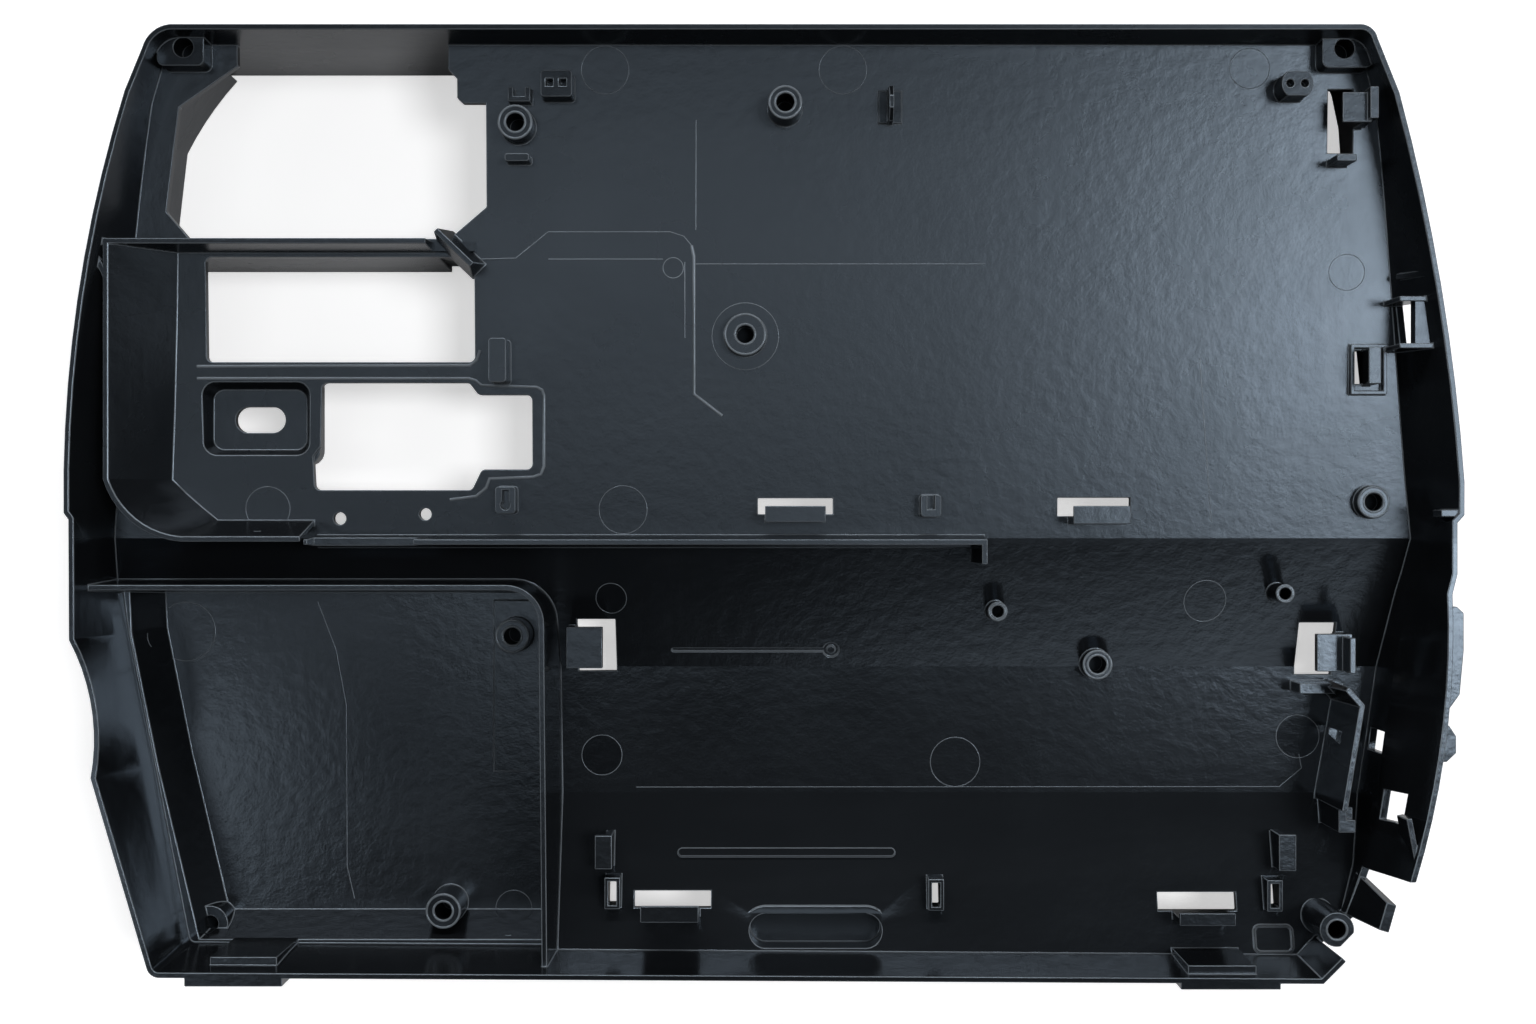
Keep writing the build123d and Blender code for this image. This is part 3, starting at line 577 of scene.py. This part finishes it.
class HOUSING_OT_marks(bpy.types.Operator):
    """Adds the round witness lines and smooth discs that the ejector pins leave."""

    bl_idname = "housing.marks"
    bl_label = "Ejector marks"

    def execute(self, context):
        marks = settings("marks")
        rings = [ring(*mark, marks.steps) for mark in EJECTOR_MARKS]
        add_beads("ejector_marks", rings, True, marks.line_width, marks.line_height)
        add_discs("smooth_discs", SMOOTH_DISCS, marks.disc_height, disc_material())
        return {"FINISHED"}


class HOUSING_OT_rims(bpy.types.Operator):
    """Rounds the bore and the shoulder of each screw boss and shades the bottom of its bore."""

    bl_idname = "housing.rims"
    bl_label = "Boss rims"

    def execute(self, context):
        marks = settings("marks")
        inset = marks.rim_width / (2 * MM)
        rings, bores = [], []
        for x, y, bore, shoulder in ROUNDED_BOSSES:
            rings += [ring(x, y, bore + inset, marks.steps), ring(x, y, shoulder - inset, marks.steps)]
            bores.append((x, y, bore * marks.bore_share))
        add_beads("boss_rims", rings, True, marks.rim_width, marks.rim_height, on_top=True)
        add_discs("bore_floors", bores, marks.line_height, bore_material())
        return {"FINISHED"}


class HOUSING_OT_forms(bpy.types.Operator):
    """Adds the foot of the bridge wall and the bar over the window in the skirt."""

    bl_idname = "housing.forms"
    bl_label = "Plain forms"

    def execute(self, context):
        for name, ranges in PLAIN_FORMS.items():
            work = bmesh.new()
            bmesh.ops.create_cube(work, size=1.0)
            for axis, (low, high) in enumerate(ranges):
                for vert in work.verts:
                    vert.co[axis] = (low + (vert.co[axis] + 0.5) * (high - low)) * MM
            mesh = bpy.data.meshes.new(name)
            work.to_mesh(mesh)
            work.free()
            finish_piece(new_object(name, mesh), plastic_material())
        return {"FINISHED"}


class HOUSING_OT_lines(bpy.types.Operator):
    """Adds the weld lines and rounded steps on the floors."""

    bl_idname = "housing.lines"
    bl_label = "Floor lines"

    def execute(self, context):
        marks = settings("marks")
        add_beads("weld_lines", FLOOR_LINES, False, marks.line_width, marks.line_height)
        add_beads("deck_steps", FLOOR_STEPS, False, marks.step_width, marks.step_height)
        return {"FINISHED"}


# ---------------------------------------------------------------- the stage
def backdrop_material():
    """Pale floor that keeps the soft shadow and stays white to the eye."""
    stage = settings("stage")
    made = bpy.data.materials.new("pale backdrop")
    made.use_nodes = True
    tree = made.node_tree
    shader = tree.nodes["Principled BSDF"]
    out = tree.nodes["Material Output"]
    shader.inputs["Base Color"].default_value = (*stage.backdrop, 1)
    shader.inputs["Roughness"].default_value = 0.9
    shader.inputs["Specular IOR Level"].default_value = 0.1
    path = add_node(tree, "ShaderNodeLightPath", (-600, 300))
    seen = add_node(tree, "ShaderNodeMath", (-400, 300), operation="MAXIMUM")
    seen_all = add_node(tree, "ShaderNodeMath", (-200, 300), operation="MAXIMUM")
    glow = add_node(tree, "ShaderNodeEmission", (0, 300))
    bright = add_node(tree, "ShaderNodeMath", (-200, 450), operation="MULTIPLY")
    bright.inputs[1].default_value = stage.backdrop_glow
    dim = add_node(tree, "ShaderNodeBsdfDiffuse", (0, 150))
    dim.inputs["Color"].default_value = (*stage.backdrop_seen, 1)
    white = add_node(tree, "ShaderNodeAddShader", (200, 250))
    mix = add_node(tree, "ShaderNodeMixShader", (400, 200))
    link_up(
        tree,
        (path.outputs["Is Camera Ray"], seen.inputs[0]), (path.outputs["Is Glossy Ray"], seen.inputs[1]),
        (seen.outputs["Value"], seen_all.inputs[0]),
        (path.outputs["Is Transmission Ray"], seen_all.inputs[1]),
        (seen_all.outputs["Value"], mix.inputs[0]),
        (path.outputs["Is Camera Ray"], bright.inputs[0]),
        (bright.outputs["Value"], glow.inputs["Strength"]),
        (glow.outputs["Emission"], white.inputs[0]), (dim.outputs["BSDF"], white.inputs[1]),
        (shader.outputs["BSDF"], mix.inputs[1]), (white.outputs["Shader"], mix.inputs[2]),
        (mix.outputs["Shader"], out.inputs["Surface"]),
    )
    return made


def add_lamp(name, place, aim, size, power):
    """A soft rectangular lamp that faces a point."""
    data = bpy.data.lights.new(name, "AREA")
    data.shape = "RECTANGLE"
    data.size, data.size_y = size
    data.energy = power
    lamp = new_object(name, data)
    lamp.location = place
    lamp.rotation_euler = (Vector(aim) - Vector(place)).to_track_quat("-Z", "Y").to_euler()
    return lamp


class HOUSING_OT_stage(bpy.types.Operator):
    """Adds the floor, the lamps, the world and the camera."""

    bl_idname = "housing.stage"
    bl_label = "Stage"

    def execute(self, context):
        stage = settings("stage")
        scene = context.scene
        mesh = bpy.data.meshes.new("floor")
        reach = stage.floor_reach
        level = CAD_LOW.z - stage.floor_gap
        corners = [(x * reach, y * reach, level) for x, y in ((-1, -1), (1, -1), (1, 1), (-1, 1))]
        mesh.from_pydata(corners, [], [(0, 1, 2, 3)])
        mesh.materials.append(backdrop_material())
        new_object("floor", mesh)

        for lamp in LAMPS:
            add_lamp(*lamp)

        world = bpy.data.worlds.new("studio")
        scene.world = world
        world.use_nodes = True
        tree = world.node_tree
        back = tree.nodes["Background"]
        back.inputs["Color"].default_value = (*stage.world_colour, 1)
        back.inputs["Strength"].default_value = stage.world_strength
        seen = add_node(tree, "ShaderNodeLightPath", (-400, 300))
        white = add_node(tree, "ShaderNodeBackground", (-200, 200))
        mix = add_node(tree, "ShaderNodeMixShader", (200, 200))
        link_up(
            tree,
            (seen.outputs["Is Camera Ray"], mix.inputs[0]), (back.outputs["Background"], mix.inputs[1]),
            (white.outputs["Background"], mix.inputs[2]),
            (mix.outputs["Shader"], tree.nodes["World Output"].inputs["Surface"]),
        )
        scene.view_settings.view_transform = "Standard"

        data = bpy.data.cameras.new("camera")
        data.lens = stage.camera_lens
        data.sensor_width = 36.0
        data.clip_start = 0.01
        camera = new_object("camera", data)
        camera.location = stage.camera_place
        scene.camera = camera
        return {"FINISHED"}


class HOUSING_PT_panel(bpy.types.Panel):
    """Lists the steps that dress the housing."""

    bl_label = "Moulded housing"
    bl_space_type = "VIEW_3D"
    bl_region_type = "UI"
    bl_category = "Housing"

    def draw(self, context):
        for step in STEPS:
            self.layout.operator(step.bl_idname)


STEPS = (
    HOUSING_OT_stage, HOUSING_OT_shell, HOUSING_OT_forms,
    HOUSING_OT_rims, HOUSING_OT_marks, HOUSING_OT_lines,
)
CLASSES = (*GROUPS, *STEPS, HOUSING_PT_panel)
SETTINGS = {
    "shell": HousingShellSettings,
    "plastic": HousingPlasticSettings,
    "marks": HousingMarkSettings,
    "stage": HousingStageSettings,
}


def register():
    for each in CLASSES:
        bpy.utils.register_class(each)
    for name, group in SETTINGS.items():
        setattr(bpy.types.Scene, "housing_" + name, bpy.props.PointerProperty(type=group))


def unregister():
    for name in SETTINGS:
        delattr(bpy.types.Scene, "housing_" + name)
    for each in reversed(CLASSES):
        bpy.utils.unregister_class(each)


def main():
    """Dresses the housing."""
    register()
    for step in STEPS:
        group, name = step.bl_idname.split(".")
        getattr(getattr(bpy.ops, group), name)()


if __name__ == "__main__":
    main()
